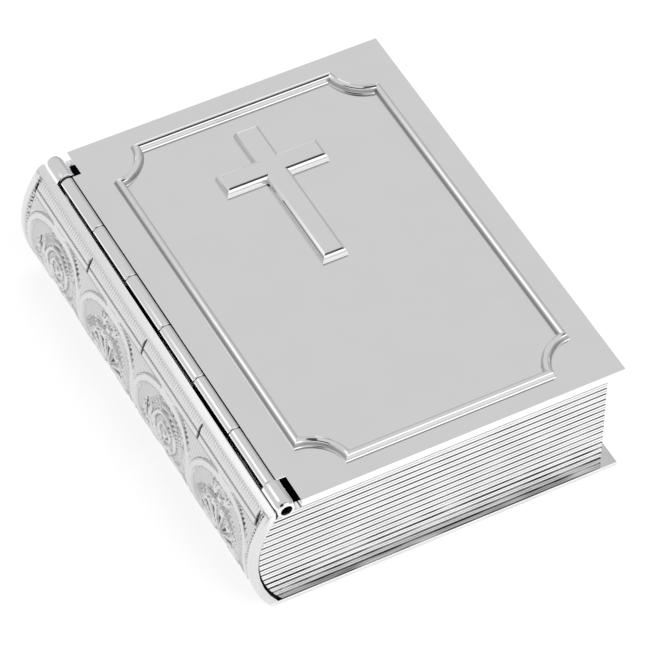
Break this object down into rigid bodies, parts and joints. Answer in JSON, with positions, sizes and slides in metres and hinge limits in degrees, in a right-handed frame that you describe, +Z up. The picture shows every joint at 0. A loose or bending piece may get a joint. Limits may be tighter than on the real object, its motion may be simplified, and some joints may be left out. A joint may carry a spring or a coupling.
{
  "type": "keepsake box",
  "caption": "Book-shaped metal keepsake box with an ornamented round spine, ribbed page walls, velvet lining and a flat lid that opens on a pinned spine hinge.",
  "frame": {"origin": "middle of the resting face, under the felt, with the lid closed", "axes": "+X from the round spine to the fore edge, +Y from the tail end to the head end, +Z up through the lid"},
  "size_m": [0.0762, 0.095, 0.0293],
  "materials": {
    "silver_plate": "mirror-polished silver plate on cast zinc alloy",
    "page_walls": "silver plate, ribbed like the edges of leaves",
    "spine_relief": "silver plate on cast scrollwork relief with a hatched ground",
    "pin_steel": "drawn steel wire",
    "velvet": "dark blue short-pile velvet",
    "lining_card": "plain grey lining board",
    "underside_felt": "black felt"
  },
  "bodies": {
    "box": {"base_felt": "underside_felt", "base_cover": "silver_plate", "tail_page_wall": "page_walls", "head_page_wall": "page_walls", "fore_page_wall": "page_walls", "spine_cover": "spine_relief", "spine_inner_wall": "silver_plate", "tail_hinge_boss": "silver_plate", "head_hinge_boss": "silver_plate", "body_hinge_leaf": "silver_plate", "hinge_pin": "pin_steel", "floor_card": "lining_card", "floor_velvet": "velvet", "fore_lining": "velvet", "spine_lining": "velvet", "tail_lining": "velvet", "head_lining": "velvet"},
    "lid": {"lid_cover": "silver_plate", "lid_cross": "silver_plate", "lid_hinge_leaf": "silver_plate", "lid_card": "lining_card", "lid_velvet": "velvet"}
  },
  "joints": [
    {"name": "lid_hinge", "type": "hinge", "parent": "box", "child": "lid", "pos_m": [-0.03085, 0, 0.0265], "axis": [0, -1, 0], "range_deg": [0, 125]}
  ]
}
